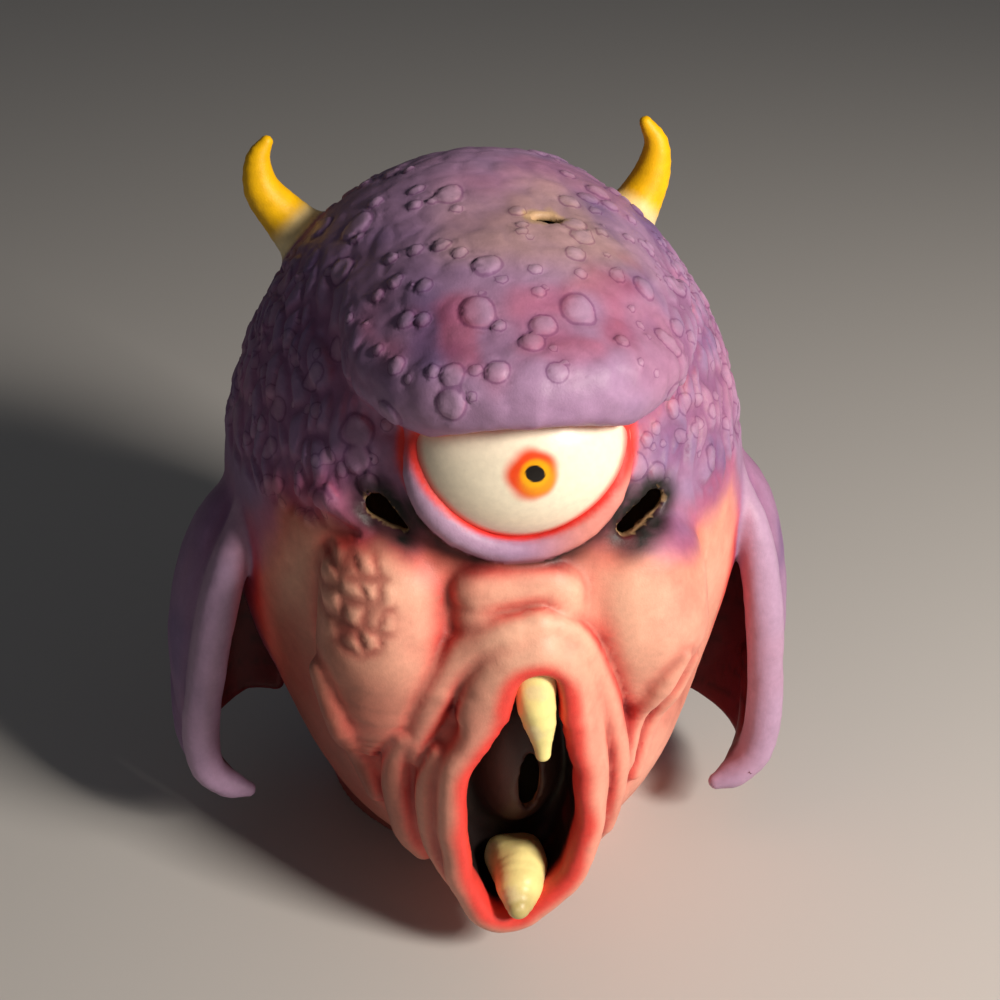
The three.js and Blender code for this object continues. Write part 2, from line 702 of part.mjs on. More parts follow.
function maskGeometry() {
  const low = [-150, -150, -24];
  const high = [150, 140, 316];
  const warts = placeWarts();
  const careAt = ([x, y, z]) => {
    const onHorn = Math.abs(x) > HORN_SIDE && z > HORN_FOOT;
    return y < BACK_OF_FACE || onHorn ? FRONT_CARE : 1;
  };
  const skin = thinned(surfaceOf(withWarts(warts), low, high, CELL), OUTER_TRIANGLES, careAt);
  const inside = thinned(surfaceOf(insideAt, low, high, CAVITY_CELL),
    CAVITY_TRIANGLES, () => 1);
  let solid = solidOf(skin).subtract(solidOf(inside)).subtract(blockBelow(0));
  for (const cutter of [...EYE_SLOTS.map(slotCutter), eggCutter(MOUTH_SLIT), eggCutter(CROWN_TEAR)]) {
    solid = solid.subtract(cutter);
  }
  const mesh = solid.getMesh();
  const geometry = new THREE.BufferGeometry();
  geometry.setAttribute('position', new THREE.BufferAttribute(mesh.vertProperties, 3));
  geometry.setIndex(new THREE.BufferAttribute(mesh.triVerts, 1));
  geometry.translate(...SHIFT);
  geometry.computeVertexNormals();
  return geometry;
}

const mask = new THREE.Mesh(maskGeometry(),
  new THREE.MeshStandardMaterial({ color: COLOUR, roughness: 0.6, metalness: 0 }));
mask.name = 'mask';

const part = new THREE.Group();
part.add(mask);
export default part;
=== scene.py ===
import bpy
import numpy as np
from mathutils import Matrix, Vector


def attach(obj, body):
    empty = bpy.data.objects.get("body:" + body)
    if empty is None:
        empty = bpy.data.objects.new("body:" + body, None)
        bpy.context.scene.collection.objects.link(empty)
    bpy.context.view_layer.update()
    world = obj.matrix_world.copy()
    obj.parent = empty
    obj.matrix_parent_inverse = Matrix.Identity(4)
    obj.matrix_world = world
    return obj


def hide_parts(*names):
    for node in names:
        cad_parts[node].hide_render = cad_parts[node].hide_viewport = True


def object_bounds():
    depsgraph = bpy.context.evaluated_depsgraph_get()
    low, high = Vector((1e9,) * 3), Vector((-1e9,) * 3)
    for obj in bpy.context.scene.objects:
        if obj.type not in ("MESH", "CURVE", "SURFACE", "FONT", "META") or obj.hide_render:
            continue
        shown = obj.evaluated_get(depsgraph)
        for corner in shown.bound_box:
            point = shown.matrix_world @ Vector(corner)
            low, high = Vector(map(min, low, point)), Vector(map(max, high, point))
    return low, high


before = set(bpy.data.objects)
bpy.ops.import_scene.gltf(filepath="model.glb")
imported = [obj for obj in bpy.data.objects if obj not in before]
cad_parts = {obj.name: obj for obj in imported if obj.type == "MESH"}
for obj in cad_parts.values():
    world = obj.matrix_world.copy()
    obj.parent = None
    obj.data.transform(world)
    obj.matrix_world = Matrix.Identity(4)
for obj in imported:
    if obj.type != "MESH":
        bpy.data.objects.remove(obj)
cad_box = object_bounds()

# The sculpting frame: millimetres, +Z up, the face looks along -Y, the neck in the middle.
# Left and right are those of someone who looks at the face.
# The outline's middle, seen from above, lies beside the neck's, and the horns end on top.
SCULPT_MIDDLE = (-5, -9.7)
SCULPT_HEIGHT = 294.3
METRES = (cad_box[1].z - cad_box[0].z) / SCULPT_HEIGHT
SCULPT_ORIGIN = np.array([(low + high) / 2 / METRES - middle for low, high, middle
                          in zip(cad_box[0], cad_box[1], SCULPT_MIDDLE)] + [0.0])

# Forms in sculpting millimetres: a middle and three radii, or [x, y, z, radius] along a limb
WALL = 3.5
SKULL = dict(at=(0, 2, 151), radii=(108, 112, 142))
NECK = [[0, 14, -60, 70], [0, 14, 95, 70]]
JAW = dict(at=(-1, -42, 76), radii=(72, 74, 66))
MUZZLE = [[1, -92, 142, 27], [-2, -92, 100, 36], [-4, -94, 66, 33], [-6, -103, 38, 21]]
BRIDGE = [[-16, -105, 169, 11.5], [8, -105, 169, 11.5], [8, -106, 160, 11.5], [-16, -106, 160, 11.5]]
BROW_LOBE = dict(at=(3, -30, 244), radii=(65, 82, 42))
BROW_ROLL = [[-50, -42, 257, 7], [-49, -60, 249.5, 10], [-44, -77, 244, 13.5], [-26, -97, 245, 17],
             [1, -105, 246, 18.5], [29, -98, 245, 17], [48, -79, 241, 13.5], [58, -62, 243, 10.5],
             [65, -44, 250, 7]]
BROW_TROUGH = [[-48, -78, 274, 9], [-25, -96, 272, 9], [0, -103, 271, 9], [25, -96, 273, 9],
               [46, -78, 276, 8]]
SOCKET = dict(at=(0, -118, 212), radii=(44, 30, 26))
EYEBALL = dict(at=(0, -84, 215), radii=(41, 32, 33))
# The skin is pressed in a little under the eyeball, which is a piece of its own
EYE_BED = dict(at=(0, -84, 215), radii=(36, 27, 28))
EYE_SEEN = (41, 32.5, 33.5)
GAZE = (0.03, -0.97, 0.16)
LID = dict(at=(-1, 218), width=36, drop=32.5, front=108, sides=93, radius=3.3, swell=3, sweep=100)
CHEEK_LEFT = [[-49, -87, 162, 25], [-50, -92, 142, 26], [-54, -93, 116, 18], [-57, -94, 93, 4]]
CHEEK_RIGHT = [[46, -87, 162, 25], [47, -92, 144, 26], [45, -95, 122, 17]]
CHEEK_PADS = [[[-44, -89, 162, 23], [-45, -93, 144, 24], [-50, -94, 122, 18]],
              [[38, -89, 163, 23], [39, -93, 146, 23], [42, -95, 128, 17]]]
HORN_RIGHT = [[64, 37, 250, 12], [71, 40, 260, 9.5], [76, 41, 271, 7.5], [77, 41, 283, 5],
              [72, 41, 292, 2.6]]
HORN_LEFT = [[-67, 37, 250, 12], [-76, 40, 260, 9.5], [-84, 41, 271, 7.5], [-85, 41, 283, 5],
             [-81, 41, 290.5, 2.6]]

# The mouth is a leaning teardrop in the face plane: [x, z, half width]
MOUTH_LINE = [[2, 135.5, 7], [1.5, 120, 9.5], [-3, 93, 20], [-2.5, 72, 21], [-3.5, 54, 18],
              [-7.5, 36, 7.5]]
LIP = dict(front=-126, offset=5, radius=6.5, sink=4.55)
POCKET = dict(back=-93, spread=2)
PALATE = dict(at=(0, -90, 82), radii=(18, 17, 34))
# The lower tooth is cut off flat, square to TOOTH_CUT; the upper one ends short of its cut
UPPER_TOOTH = [[1.5, -116, 141, 8.5], [2.5, -122, 127, 7.5], [4.3, -127, 108.5, 3]]
LOWER_TOOTH = [[-2, -101, 36, 11.8], [-1.5, -110, 38.5, 11.4], [-2.5, -119, 38, 9.6],
               [-4.4, -129, 35, 4.2]]
TOOTH_CUT = np.array((0, 0.495, 0.866))
UPPER_TOOTH_CUT_AT = 90
LOWER_TOOTH_CUT_AT = -11
TOOTH_LUMPS = 0.7

# Openings cut through the skin, in sculpting millimetres
MOUTH_SLIT = dict(at=(3, -98, 77), radii=(4.6, 30, 15))
CROWN_TEAR = dict(at=(16.5, -43, 285), radii=(5.5, 3.6, 14))
# The eye slots, seen square on: [x, z, half width]
EYE_SLOTS = [[[-50.5, 196.3, 4.6], [-41.2, 190, 1]], [[37.5, 186.5, 3.2], [49, 192, 4.3]]]
EYE_SLOT_BACK = -62

# Folds of skin laid on the face: [x, z, radius]
FOLDS = [
    [[3, 160, 6], [-9, 156.5, 7.5], [-22, 147.5, 8.5], [-32, 132, 8.5], [-37, 117, 7], [-40, 104, 5],
     [-41, 96, 2.5]],
    [[3, 160, 6], [12, 156, 5.5], [20, 146, 6], [27, 128, 6.5], [33, 105, 6], [35.5, 84, 5.5],
     [34, 50, 4.5], [27, 30, 3]],
    [[3, 151, 8.5], [-8, 147.5, 9.5], [-15, 136, 10], [-19, 124, 8], [-19, 113, 4]],
    [[3, 151, 8.5], [14.5, 143.5, 8], [21, 125, 6], [25, 102, 5], [27, 81, 4.5], [24, 56, 4]],
    [[-33, 104, 4], [-36, 90, 5.5], [-36.5, 77, 6], [-34.5, 58, 5.5], [-30, 45, 5], [-24, 33, 4]],
    [[-45, 108, 5], [-47, 95, 6], [-47.5, 80, 6.5], [-44.5, 55, 6], [-38, 40, 5]],
    [[-74, 135, 5], [-68, 110, 6], [-62, 90, 6], [-55, 70, 5]],
    [[-73, 194.5, 3], [-67, 195.5, 5], [-60, 192.5, 5], [-56, 189, 3]],
    [[59, 138, 2.5], [51, 124, 4.5], [44, 105, 5], [40, 85, 4]],
    [[65, 130, 2.5], [58, 114, 4.5], [51, 97, 5], [45, 75, 4]],
]

# How deep a fold's middle lies under the skin, as a share of its radius
FOLD_SINK = 0.05

EAR_CUP = dict(at=(98, -16, 88), radii=(32, 38, 80), thickness=5.5, slant=1.9, hem=40,
               hem_fall=0.4, hem_corner=100)
EAR_EDGE = [[94, -28, 172, 5], [104, -42, 152, 7], [110, -46, 131, 7.5], [114, -48, 110, 7.5],
            [117, -48, 90, 7.5], [120, -48, 66, 7.5], [118, -49, 48, 7], [110, -50, 38, 5.5],
            [101, -50, 34, 3.5]]
EAR_FOOT = [[127, -8, 66, 6], [125, -22, 50, 7], [118, -38, 40, 6.5], [109, -47, 36, 5]]
# The soft ears hang unevenly: how far each has moved at its tip
EAR_HANG = dict(top=172, tip=34, left=(7, 3, 4), right=(-6, -6, -8))

# How softly each form joins or cuts the clay
SOFT = dict(skull=1, neck=36, jaw=26, muzzle=20, cheeks=3, pads=6, bridge=2.5, brow_lobe=5, brow_roll=7,
            folds=2.5, lips=4, socket=8, eye=2, lid=5, mouth=4, palate=3, horns=6, ears=5, ear_edges=4,
            pocket_corner=8, tooth_edges=3)

# Warts by size, larger ones first, and how high they stand; the packed cobbles of the left cheek
WART_GROUPS = [dict(seed=7, count=52, smallest=4.6, largest=6.4, height=1.0),
               dict(seed=11, count=230, smallest=2.4, largest=4.4, height=0.9),
               dict(seed=23, count=150, smallest=1.4, largest=2.4, height=0.7)]
WART_UNEVEN = 0.18
WART_MOAT = dict(depth=0.35, at=1.12, width=0.16)
COBBLES = dict(at=(-61, -100, 167), radii=(15, 40, 21), cell=(7.5, 80, 8), height=1.3)
WRINKLES = dict(cell=(8, 8, 21), height=1.8)

# How closely the clay is sampled, in millimetres, and the triangles that stay
SKIN_LOW = (-150, -150, -12)
SKIN_HIGH = (150, 140, 316)
CELL = 1.55
TOOTH_CELL = 0.8
STRIDE = 4
BAND = 5.0
SKIN_TRIANGLES = 190000

# The studio: places and sizes in metres, power in watts
FLOOR = dict(size=6, colour=(0.6, 0.58, 0.55, 1))
SKY = dict(colour=(0.9, 0.93, 1, 1), strength=0.06)
LAMP_COLOUR = (1, 0.92, 0.84)
LAMP_TARGET = (0, 0, 0.15)
LAMPS = [dict(name="key", place=(0.76, -0.82, 0.8), size=0.3, power=21),
         dict(name="fill", place=(-0.9, -0.9, 0.5), size=1.2, power=0.35)]
# The camera looks down on the face from a little to the left
CAMERA = dict(azimuth=-8, elevation=30, distance=0.68, lens=57.6, sensor=36, target=(0, 0, 144),
              target_px=(484, 500))
IMAGE_SIDE = 1000


def span(points):
    """The length of each row."""
    return np.sqrt((points ** 2).sum(1))


def soft_min(a, b, soft):
    overlap = np.maximum(soft - np.abs(a - b), 0) / soft
    return np.minimum(a, b) - overlap * overlap * soft / 4


def soft_max(a, b, soft):
    return -soft_min(-a, -b, soft)


def smooth(low, high, value):
    """0 below low, 1 above high, with a soft turn between them."""
    share = np.clip((value - low) / (high - low), 0, 1)
    return share * share * (3 - 2 * share)


CORNERS = np.array([(i, j, k) for i in (0, 1) for j in (0, 1) for k in (0, 1)])


def scattered(cells, seed):
    """A repeatable value from 0 to 1 for each whole-number cell."""
    x, y, z = (cells.astype(np.int64) & 0xffff).T
    hashed = (x * 73856093) ^ (y * 19349663) ^ (z * 83492791) ^ (seed * 374761393)
    hashed = ((hashed ^ (hashed >> 13)) * 1274126177) & 0xffffffff
    return ((hashed ^ (hashed >> 15)) & 0xffff) / 65535


def clouds(points, size, seed):
    """Soft clouds from -1 to 1, about so many millimetres across."""
    scaled = points / size
    cells = np.floor(scaled).astype(int)
    share = smooth(0, 1, scaled - cells)
    total = np.zeros(len(points))
    for corner in CORNERS:
        total += np.where(corner, share, 1 - share).prod(1) * scattered(cells + corner, seed)
    return total * 2 - 1


def mottle(points, size, seed):
    """Clouds with finer clouds in them."""
    return (clouds(points, size, seed) + clouds(points, size / 2.1, seed + 1) * 0.5
            + clouds(points, size / 4.3, seed + 2) * 0.25) / 1.4


def seams(points, size, seed):
    """How far points lie from the nearest seam between scattered cells of a size, as its share."""
    scaled = points / np.array(size, float)
    cells = np.floor(scaled).astype(int)
    nearest = np.full(len(points), 9.0)
    second = np.full(len(points), 9.0)
    for shift in np.ndindex(3, 3, 3):
        other = cells + np.array(shift) - 1
        stray = np.stack([scattered(other, seed + axis) - 0.5 for axis in range(3)], 1)
        distance = span(scaled - (other + 0.5 + 0.75 * stray))
        second = np.minimum(second, np.maximum(distance, nearest))
        nearest = np.minimum(nearest, distance)
    return second - nearest


class Form:
    """A shape with a middle, a reach round it and a signed distance, negative inside."""

    def __init__(self, middle, reach, distance):
        self.middle = np.array(middle, float)
        self.reach = reach
        self.distance = distance


def egg(at, radii):
    middle, sizes = np.array(at, float), np.array(radii, float)

    def distance(points):
        scaled = (points - middle) / sizes
        out = span(scaled)
        return out * (out - 1) / np.maximum(span(scaled / sizes), 1e-9)

    return Form(middle, sizes.max(), distance)


def curve_through(points, steps):
    """A smooth curve through points, with so many steps to a span; the last column runs straight."""
    rows = np.array(points, float)
    ends = np.vstack([2 * rows[0] - rows[1], rows, 2 * rows[-1] - rows[-2]])
    knots = []
    for first in range(len(rows) - 1):
        a, b, c, d = ends[first:first + 4]
        for step in range(steps + (first == len(rows) - 2)):
            t = step / steps
            knot = (b + (c - a) * t / 2 + (2 * a - 5 * b + 4 * c - d) * t * t / 2
                    + (3 * b - a - 3 * c + d) * t ** 3 / 2)
            knot[-1] = b[-1] + (c[-1] - b[-1]) * t
            knots.append(knot)
    return np.array(knots)


def limb(points, steps=3):
    """A chain of round cones along a smooth curve through [..., radius] points."""
    knots = curve_through(points, steps)
    low, high = knots[:, :-1].min(0), knots[:, :-1].max(0)
    middle = (low + high) / 2
    reach = (span(knots[:, :-1] - middle) + knots[:, -1]).max()

    def distance(places):
        nearest = np.full(len(places), np.inf)
        for start, end in zip(knots[:-1], knots[1:]):
            along = end[:-1] - start[:-1]
            share = np.clip((places - start[:-1]) @ along / (along @ along), 0, 1)
            gap = span(places - start[:-1] - share[:, None] * along)
            gap = gap - start[-1] - (end[-1] - start[-1]) * share
            np.minimum(nearest, gap, out=nearest)
        return nearest

    return Form(middle, reach, distance)


mouth_outline = limb(MOUTH_LINE, 4)


def mouth_at(points):
    """Signed distance to the mouth's outline, seen square on."""
    return mouth_outline.distance(points[:, [0, 2]])


MOUTH_MIDDLE = (-2, LIP["front"], 88)
MOUTH_REACH = 95


def lip_ring():
    def distance(points):
        out = mouth_at(points) - LIP["offset"]
        back = points[:, 1] - LIP["front"] - LIP["sink"]
        return np.hypot(out, back) - LIP["radius"]

    return Form(MOUTH_MIDDLE, MOUTH_REACH, distance)


def mouth_pocket():
    def distance(points):
        behind_lips = smooth(LIP["front"] + 4, LIP["front"] + 16, points[:, 1])
        side = mouth_at(points) - POCKET["spread"] * behind_lips
        return soft_max(side, points[:, 1] - POCKET["back"], SOFT["pocket_corner"])

    return Form(MOUTH_MIDDLE, MOUTH_REACH, distance)


def eye_slot(line):
    """A slot seen square on, cut through the front of the face."""
    outline = limb(line, 1)

    def distance(points):
        return np.maximum(outline.distance(points[:, [0, 2]]), points[:, 1] - EYE_SLOT_BACK)

    middle = [outline.middle[0], EYE_SLOT_BACK - 20, outline.middle[1]]
    return Form(middle, outline.reach + 35, distance)


def ear_cup():
    bowl = egg(EAR_CUP["at"], EAR_CUP["radii"])
    slant = EAR_CUP["slant"]

    def distance(points):
        x, y, z = points.T
        skin = np.abs(bowl.distance(points)) - EAR_CUP["thickness"] / 2
        opening = -(y - EAR_CUP["at"][1] + slant * (x - EAR_CUP["at"][0])) / np.hypot(1, slant)
        hem = EAR_CUP["hem"] - EAR_CUP["hem_fall"] * np.maximum(x - EAR_CUP["hem_corner"], 0) - z
        return soft_max(soft_max(skin, opening, SOFT["ear_edges"]), hem, SOFT["ear_edges"])

    return Form(EAR_CUP["at"], max(EAR_CUP["radii"]) + EAR_CUP["thickness"], distance)


def on_side(form, side, hang):
    """A form moved to one side of the head, leaning with the hang of that ear."""
    middle = form.middle * (side, 1, 1)

    def distance(points):
        share = np.clip((EAR_HANG["top"] - points[:, 2]) / (EAR_HANG["top"] - EAR_HANG["tip"]), 0, 1)
        return form.distance(points * (side, 1, 1) - share[:, None] * np.array(hang, float))

    return Form(middle, form.reach + np.linalg.norm(hang), distance)


def lid_line():
    points = []
    for turn in np.linspace(-LID["sweep"], LID["sweep"], 11):
        angle = np.radians(turn)
        front = LID["sides"] + (LID["front"] - LID["sides"]) * np.cos(angle)
        radius = LID["radius"] + LID["swell"] * np.sin(1.5 * angle) ** 2
        points.append([LID["at"][0] + LID["width"] * np.sin(angle), -front,
                       LID["at"][1] - LID["drop"] * np.cos(angle), radius])
    return points


def clay_at(steps, points):
    """Signed distance to the clay after the steps: (form, softness, whether it cuts)."""
    value = np.full(len(points), 1000.0)
    for form, soft, cuts in steps:
        away = span(points - form.middle) - form.reach
        near = np.flatnonzero(away <= (soft - value if cuts else soft + value))
        if not len(near):
            continue
        distance = form.distance(points[near])
        if cuts:
            value[near] = soft_max(value[near], -distance, soft)
        else:
            value[near] = soft_min(value[near], distance, soft)
    return value


def meet_clay(steps, starts, direction, reach):
    """Walks in from outside along a direction until it meets the clay."""
    starts, direction = np.array(starts, float), np.array(direction, float)
    travelled = np.zeros(len(starts))
    for _ in range(90):
        gap = clay_at(steps, starts + travelled[:, None] * direction)
        travelled += np.where(gap > 0.05, np.maximum(gap * 0.7, 0.05), 0)
    return starts + travelled[:, None] * direction, travelled < reach


def join(form, kind):
    return form, SOFT[kind], False


def cut(form, kind):
    return form, SOFT[kind], True


HEAD = [join(egg(**SKULL), "skull"), join(limb(NECK, 1), "neck"), join(egg(**JAW), "jaw"),
        join(limb(MUZZLE), "muzzle"), join(limb(CHEEK_LEFT), "cheeks"), join(limb(CHEEK_RIGHT), "cheeks"),
        *[join(limb(pad), "pads") for pad in CHEEK_PADS],
        join(limb(BRIDGE), "bridge"), join(egg(**BROW_LOBE), "brow_lobe"), join(limb(BROW_ROLL), "brow_roll")]


def fold_on_face(fold):
    """A fold lies on the face with its middle a little below the skin."""
    rows = np.array(fold, float)
    starts = np.column_stack([rows[:, 0], np.full(len(rows), -200.0), rows[:, 1]])
    places, _ = meet_clay(HEAD, starts, (0, 1, 0), 200)
    depth = places[:, 1] + rows[:, 2] * FOLD_SINK
    return limb(np.column_stack([rows[:, 0], depth, rows[:, 1], rows[:, 2]]))


lid = limb(lid_line(), 2)
eyeball = egg(**EYEBALL)
brow_trough = limb(BROW_TROUGH)
socket = cut(egg(**SOCKET), "socket")
pocket = cut(mouth_pocket(), "mouth")
palate = egg(**PALATE)
FACE = [*HEAD, *[join(fold_on_face(fold), "folds") for fold in FOLDS], join(lip_ring(), "lips"), socket,
        join(egg(**EYE_BED), "eye"), join(lid, "lid"), pocket, join(palate, "palate")]
horns = [limb(HORN_LEFT), limb(HORN_RIGHT)]
SIDES = {"right": 1, "left": -1}
ear_forms = {name: [on_side(form, side, EAR_HANG[name])
                    for form in (ear_cup(), limb(EAR_EDGE), limb(EAR_FOOT))]
             for name, side in SIDES.items()}
ear_bowls = {name: on_side(egg(EAR_CUP["at"], EAR_CUP["radii"]), side, EAR_HANG[name])
             for name, side in SIDES.items()}
WHOLE = [*FACE, *[join(horn, "horns") for horn in horns],
         *[join(form, "ears") for forms in ear_forms.values() for form in forms]]
INSIDE = [*HEAD, socket, join(eyeball, "eye"), pocket, join(palate, "palate")]
slots = [eye_slot(line) for line in EYE_SLOTS]
tear = egg(**CROWN_TEAR)
openings = [*slots, egg(**MOUTH_SLIT), tear]


def skin_at(points):
    """Signed distance to the hollow skin: the clay, less its inside and its openings."""
    outside = clay_at(WHOLE, points)
    value = outside.copy()
    deep = np.flatnonzero(outside < 2)
    inside = np.maximum(clay_at(INSIDE, points[deep]), outside[deep]) + WALL
    value[deep] = np.maximum(outside[deep], -inside)
    for opening in openings:
        near = np.flatnonzero(span(points - opening.middle) < opening.reach + 6)
        value[near] = np.maximum(value[near], -opening.distance(points[near]))
    return np.maximum(value, -points[:, 2])


def stretched(values):
    """A grid of rough values made STRIDE times finer along each axis."""
    for axis in range(3):
        values = np.moveaxis(values, axis, 0)
        share = (np.arange(STRIDE) / STRIDE).reshape(1, STRIDE, 1, 1)
        between = values[:-1, None] + (values[1:] - values[:-1])[:, None] * share
        rows = np.concatenate([between.reshape(-1, *values.shape[1:]), values[-1:]])
        values = np.moveaxis(rows, 0, axis)
    return values


def sampled(field, low, high, cell):
    """Field values on a grid: true ones near the surface, rough ones elsewhere."""
    counts = np.ceil((np.array(high) - low) / (cell * STRIDE)).astype(int) * STRIDE + 1
    axes = [low[axis] + cell * np.arange(counts[axis]) for axis in range(3)]
    coarse = np.stack(np.meshgrid(*[axis[::STRIDE] for axis in axes], indexing="ij"), -1)
    values = stretched(field(coarse.reshape(-1, 3)).reshape(coarse.shape[:3]))
    near = np.nonzero(np.abs(values) < BAND)
    values[near] = field(np.column_stack([axis[index] for axis, index in zip(axes, near)]))
    for axis in range(3):
        side = np.moveaxis(values, axis, 0)
        side[0] = np.maximum(side[0], cell / 2)
        side[-1] = np.maximum(side[-1], cell / 2)
    return values


def netted(values, low, cell):
    """Quads over a grid's zero level, with one point in each cell that the surface crosses."""
    inside = values < 0
    cells_along = [count - 1 for count in values.shape]
    count = sum(inside[i:i + cells_along[0], j:j + cells_along[1], k:k + cells_along[2]].astype(np.int8)
                for i, j, k in CORNERS)
    crossed_cells = (count > 0) & (count < 8)
    cells = np.argwhere(crossed_cells)
    number = np.full(crossed_cells.shape, -1, np.int64)
    number[crossed_cells] = np.arange(len(cells))
    total = np.zeros((len(cells), 3))
    crossings = np.zeros(len(cells))
    for start in CORNERS:
        for axis in np.flatnonzero(start == 0):
            end = start + np.eye(3, dtype=int)[axis]
            at_start = values[tuple((cells + start).T)]
            at_end = values[tuple((cells + end).T)]
            crossed = (at_start < 0) != (at_end < 0)
            share = at_start[crossed] / (at_start[crossed] - at_end[crossed])
            total[crossed] += start + share[:, None] * (end - start)
            crossings[crossed] += 1
    points = np.array(low) + cell * (cells + total / crossings[:, None])
    quads = []
    for axis in range(3):
        across, over = np.eye(3, dtype=int)[(axis + 1) % 3], np.eye(3, dtype=int)[(axis + 2) % 3]
        starts = np.moveaxis(inside, axis, 0)[:-1]
        ends = np.moveaxis(inside, axis, 0)[1:]
        edges = np.argwhere(np.moveaxis(starts != ends, 0, axis))
        ring = [number[tuple((edges - shift).T)] for shift in (across + over, over, 0 * over, across)]
        leaving = inside[tuple(edges.T)]
        ring = np.column_stack(ring)
        quads.append(np.where(leaving[:, None], ring, ring[:, ::-1]))
    return points, np.concatenate(quads)


def slope_at(field, points, nudge=0.08):
    value = field(points)
    slope = np.stack([field(points + nudge * step) - value for step in np.eye(3)], 1) / nudge
    return value, slope


def settled(field, points, cell, turns=2):
    """Moves points of the coarse surface straight onto the field's zero level."""
    for _ in range(turns):
        value, slope = slope_at(field, points)
        steepness = np.maximum((slope ** 2).sum(1), 0.3)
        step = np.clip(value / steepness, -cell / 2, cell / 2)
        points = points - slope * step[:, None]
    return points


def placed(points):
    """Sculpting millimetres to the frame's metres."""
    return (np.asarray(points) + SCULPT_ORIGIN) * METRES


def mesh_piece(name, points, faces):
    """A smooth-shaded object at the origin, from sculpting points and equal-sided faces."""
    mesh = bpy.data.meshes.new(name)
    sides = faces.shape[1]
    mesh.vertices.add(len(points))
    mesh.vertices.foreach_set("co", placed(points).astype(np.float32).ravel())
    mesh.loops.add(faces.size)
    mesh.loops.foreach_set("vertex_index", faces.astype(np.int32).ravel())
    mesh.polygons.add(len(faces))
    mesh.polygons.foreach_set("loop_start", np.arange(0, faces.size, sides, dtype=np.int32))
    mesh.update(calc_edges=True)
    mesh.polygons.foreach_set("use_smooth", np.ones(len(faces), bool))
    piece = bpy.data.objects.new(name, mesh)
    bpy.context.scene.collection.objects.link(piece)
    return piece


def thinned(piece, triangles):
    """Thins a piece to so many triangles, the ones that change its form least first."""
    count = sum(len(face.vertices) - 2 for face in piece.data.polygons)
    thinner = piece.modifiers.new("thinner", "DECIMATE")
    thinner.ratio = min(1, triangles / count)
    graph = bpy.context.evaluated_depsgraph_get()
    mesh = bpy.data.meshes.new_from_object(piece.evaluated_get(graph))
    piece.modifiers.clear()
    old = piece.data
    piece.data = mesh
    bpy.data.meshes.remove(old)
    mesh.polygons.foreach_set("use_smooth", np.ones(len(mesh.polygons), bool))
    return piece


def sculpt_points(piece):
    """A piece's points back in sculpting millimetres, and their normals."""
    count = len(piece.data.vertices)
    points = np.zeros(count * 3, np.float32)
    normals = np.zeros(count * 3, np.float32)
    piece.data.vertices.foreach_get("co", points)
    piece.data.vertex_normals.foreach_get("vector", normals)
    points = points.reshape(-1, 3).astype(float) / METRES - SCULPT_ORIGIN
    return points, normals.reshape(-1, 3).astype(float)


def random_from(seed):
    """A repeatable random number from 0 to 1 at each call."""
    state = seed
    while True:
        state = (state * 1664525 + 1013904223) & 0xffffffff
        yield state / 4294967296


def place_warts(seed, count, smallest, largest, height):
    """Warts scattered over the front and sides of the upper skull, [x, y, z, radius], and their height."""
    random = random_from(seed)
    rolls = np.array([[next(random) for _ in range(3)] for _ in range(count)])
    turn = (rolls[:, 0] - 0.5) * 1.5 * np.pi
    tilt = np.arcsin(0.2 + 0.78 * rolls[:, 1])
    radius = smallest + (largest - smallest) * rolls[:, 2] ** 2
    out = np.stack([np.sin(turn) * np.cos(tilt), -np.cos(turn) * np.cos(tilt), np.sin(tilt)], 1)
    found = []
    for direction, size in zip(out, radius):
        place, hit = meet_clay(FACE, [np.array(SKULL["at"]) + direction * 220], -direction, 200)
        from_middle = np.hypot(place[0, 0], place[0, 2] - EYEBALL["at"][2])
        on_eye = from_middle < LID["width"] + size and place[0, 1] < 0
        if hit[0] and not on_eye:
            found.append([*place[0], size])
    return np.array(found), height


def wart_gap(points, warts):
    """How far points lie from the nearest wart's middle, as a share of its uneven radius, up to 2."""
    nearest = np.full(len(points), 2.0)
    for x, y, z, radius in warts:
        near = np.flatnonzero(np.abs(points[:, 0] - x) < radius * 1.6)
        near = near[span(points[near] - (x, y, z)) < radius * 2.2]
        uneven = 1 + WART_UNEVEN * clouds(points[near], 6, int(radius * 100))
        nearest[near] = np.minimum(nearest[near], span(points[near] - (x, y, z)) / radius * uneven)
    return nearest


def wart_relief(gap, height):
    """Flat-topped swellings with a slight moat round each."""
    moat = WART_MOAT["depth"] * np.exp(-((gap - WART_MOAT["at"]) / WART_MOAT["width"]) ** 2)
    return height * (np.sqrt(np.clip(1 - gap ** 6, 0, 1)) - moat)


warts = [place_warts(**group) for group in WART_GROUPS]


def wart_gaps(points):
    """The gap to the nearest wart of each size, a small wart counting only clear of larger ones."""
    free = 1.0
    gaps = []
    for group, _ in warts:
        gap = wart_gap(points, group)
        gaps.append(2 - (2 - gap) * free)
        free = free * smooth(1.0, 1.25, gap)
    return gaps


def cobbled(points):
    """Where the left cheek's packed cobbles lie, from 0 to 1, and how far off their seams are."""
    share = smooth(1.1, 0.8, span((points - COBBLES["at"]) / COBBLES["radii"]))
    return share, seams(points + 1.5 * clouds(points, 9, 63)[:, None], COBBLES["cell"], 61)


def leaning(points):
    """Points turned so that the long wrinkles of the temples run down and forwards."""
    x, y, z = points.T
    turned = np.column_stack([np.abs(x), y * 0.85 - z * 0.5, z * 0.85 + y * 0.5])
    return turned + 3 * clouds(points, 15, 33)[:, None]


